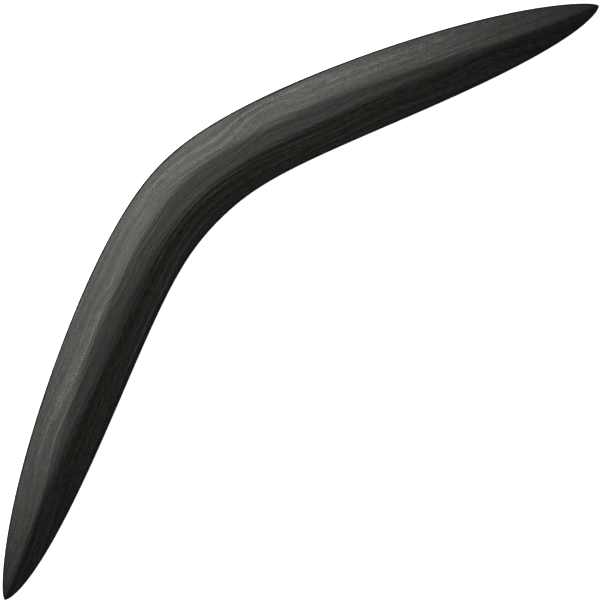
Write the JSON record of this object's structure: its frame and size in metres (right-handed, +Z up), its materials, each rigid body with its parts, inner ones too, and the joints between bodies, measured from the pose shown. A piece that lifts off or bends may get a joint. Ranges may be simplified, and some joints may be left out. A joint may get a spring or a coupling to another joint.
{
  "type": "boomerang",
  "caption": "Heavy wide-bladed boomerang with a shallow bend, bevelled edges, flat land on both faces and pointed tips, moulded in one piece.",
  "frame": {"origin": "on the surface it lies on, under the middle of the bounding box", "axes": "+X along the span from tip to tip, +Y towards the outside of the elbow, +Z up through the thickness"},
  "size_m": [0.7, 0.1676, 0.016],
  "materials": {
    "black_polypropylene": "solid black polypropylene with a moulded wood-grain relief that runs along the blade, satin sheen"
  },
  "bodies": {
    "root": {"moulding": "black_polypropylene"}
  },
  "joints": []
}
